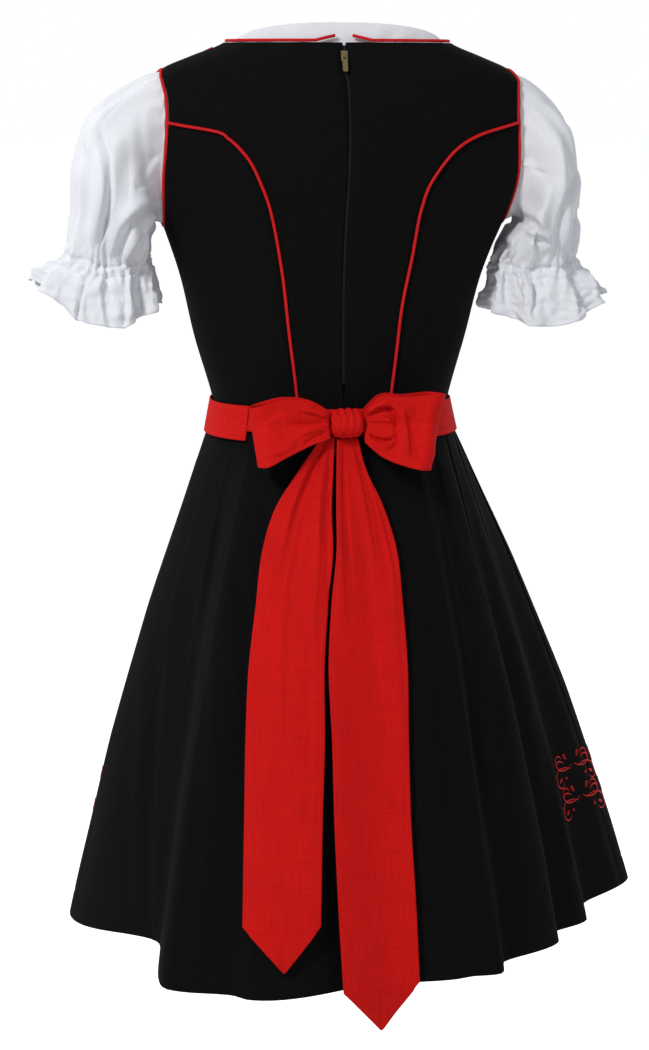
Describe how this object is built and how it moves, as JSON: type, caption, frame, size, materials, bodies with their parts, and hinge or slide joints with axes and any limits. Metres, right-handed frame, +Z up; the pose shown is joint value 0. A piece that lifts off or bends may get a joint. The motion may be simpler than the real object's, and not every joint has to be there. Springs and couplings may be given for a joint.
{
  "type": "dirndl with blouse and apron",
  "caption": "Dirndl set as worn: black sleeveless dress with red piping, white puff-sleeved blouse under it, and a red apron tied in a bow at the centre back.",
  "frame": {"origin": "on the centre line between the shoulders, at the height of the shoulder seams, where the wearer carries the straps", "axes": "+Z up, +X to the wearer's left, +Y to the wearer's back, where the zip and the bow are"},
  "size_m": [0.6264, 0.5088, 0.9389],
  "materials": {
    "dress_black": "matt cotton",
    "piping_red": "cotton satin",
    "blouse_white": "matt cotton",
    "apron_red": "slubbed linen look",
    "zip_black": "nylon coil on woven tape",
    "zip_brass": "antique"
  },
  "bodies": {
    "garment": {"bodice_front_centre": "dress_black", "bodice_back_left": "dress_black", "bodice_back_right": "dress_black", "bodice_back_side_left": "dress_black", "bodice_back_side_right": "dress_black", "bodice_front_side_left": "dress_black", "bodice_front_side_right": "dress_black", "skirt_back_left": "dress_black", "skirt_front": "dress_black", "skirt_back_right": "dress_black", "piping_neck_back_left": "piping_red", "piping_neck_back_right": "piping_red", "piping_back_left": "piping_red", "piping_back_right": "piping_red", "piping_front_left": "piping_red", "piping_front_right": "piping_red", "piping_armhole_left": "piping_red", "piping_armhole_right": "piping_red", "piping_neck_front": "piping_red", "blouse_back": "blouse_white", "blouse_front": "blouse_white", "sleeve_left": "blouse_white", "sleeve_right": "blouse_white", "apron_band": "apron_red", "apron_panel": "apron_red", "apron_tie_left": "apron_red", "apron_tie_right": "apron_red", "bow_loop_left": "apron_red", "bow_loop_right": "apron_red", "bow_knot": "apron_red", "bow_tail_left": "apron_red", "bow_tail_right": "apron_red", "zip": "zip_black", "zip_slider": "zip_brass"},
    "zip_pull": {"zip_pull": "zip_brass"}
  },
  "joints": [
    {"name": "zip_pull_hinge", "type": "hinge", "parent": "garment", "child": "zip_pull", "pos_m": [-0.00396, 0.06781, -0.00409], "axis": [1, 0, 0], "range_deg": [0, 150]}
  ]
}
